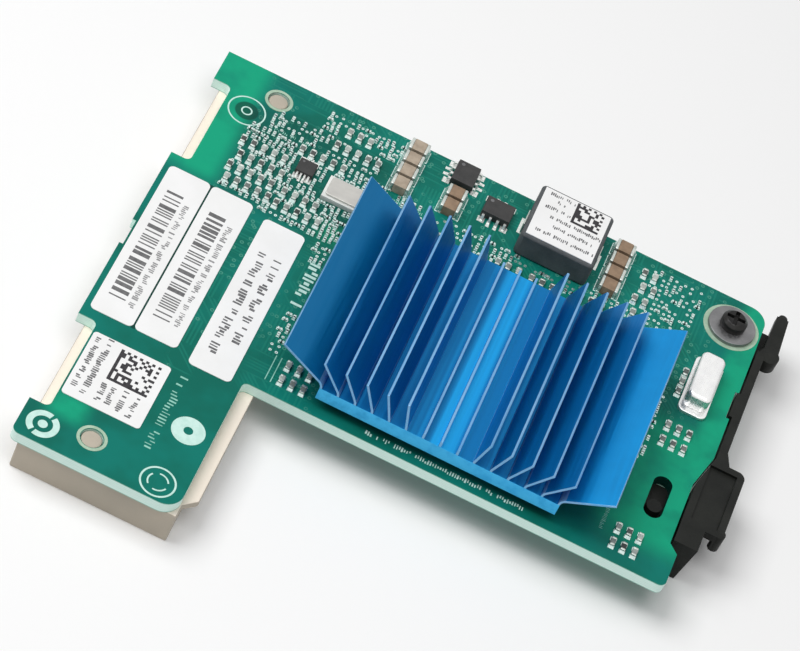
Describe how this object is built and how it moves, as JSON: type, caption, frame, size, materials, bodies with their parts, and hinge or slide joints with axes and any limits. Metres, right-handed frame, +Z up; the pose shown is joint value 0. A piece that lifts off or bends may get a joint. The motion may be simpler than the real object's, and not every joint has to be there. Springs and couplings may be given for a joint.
{
  "type": "fibre channel host bus adapter",
  "caption": "Mezzanine host bus adapter card: green board, beige connector under its left side, blue heat sink with splayed fins, black edge clip.",
  "frame": {"origin": "middle of the part's plan at the plane of the connector's mating face, on which the part stands", "axes": "+X along the board from the connector to the edge clip, +Y to the back edge of the board, +Z up"},
  "size_m": [0.1028, 0.0921, 0.0178],
  "materials": {
    "solder_mask": "satin green solder mask over glass laminate",
    "connector_plastic": "matte beige moulded polymer",
    "wafer_plastic": "matte black moulded polymer",
    "chip_laminate": "satin laminate",
    "lid_metal": "nickel plate",
    "thermal_adhesive": "soft matte",
    "blue_anodised": "satin blue anodised",
    "clip_plastic": "fine moulded texture",
    "screw_steel": "black oxide",
    "washer_steel": "plain zinc",
    "chip_plastic": "matte epoxy",
    "tinned_metal": "bright tin",
    "tan_ceramic": "satin fired ceramic",
    "grey_ceramic": "satin fired ceramic",
    "pale_ceramic": "satin fired ceramic",
    "ferrite": "pressed powder",
    "can_metal": "bright nickel",
    "label_paper": "coated paper"
  },
  "bodies": {
    "root": {"circuit_board": "solder_mask", "connector_housing": "connector_plastic", "connector_wafers": "wafer_plastic", "controller_substrate": "chip_laminate", "controller_lid": "lid_metal", "thermal_pad": "thermal_adhesive", "heat_sink": "blue_anodised", "retention_clip": "clip_plastic", "clip_screw": "screw_steel", "clip_washer": "washer_steel", "regulator_chip": "chip_plastic", "regulator_leads": "tinned_metal", "turned_regulator_chip": "chip_plastic", "turned_regulator_leads": "tinned_metal", "logic_chip": "chip_plastic", "logic_leads": "tinned_metal", "power_inductor": "ferrite", "inductor_terminals": "tinned_metal", "left_power_capacitors": "tan_ceramic", "left_power_capacitor_ends": "tinned_metal", "middle_power_capacitors": "tan_ceramic", "middle_power_capacitor_ends": "tinned_metal", "right_power_capacitors": "tan_ceramic", "right_power_capacitor_ends": "tinned_metal", "signal_capacitors": "grey_ceramic", "signal_capacitor_ends": "tinned_metal", "supply_capacitors": "grey_ceramic", "supply_capacitor_ends": "tinned_metal", "clock_capacitors": "grey_ceramic", "clock_capacitor_ends": "tinned_metal", "underside_capacitors": "grey_ceramic", "underside_capacitor_ends": "tinned_metal", "crystal_base": "can_metal", "crystal_can": "can_metal", "oscillator_base": "pale_ceramic", "oscillator_lid": "can_metal", "left_label": "label_paper", "middle_label": "label_paper", "right_label": "label_paper", "code_label": "label_paper", "inductor_label": "label_paper"}
  },
  "joints": []
}
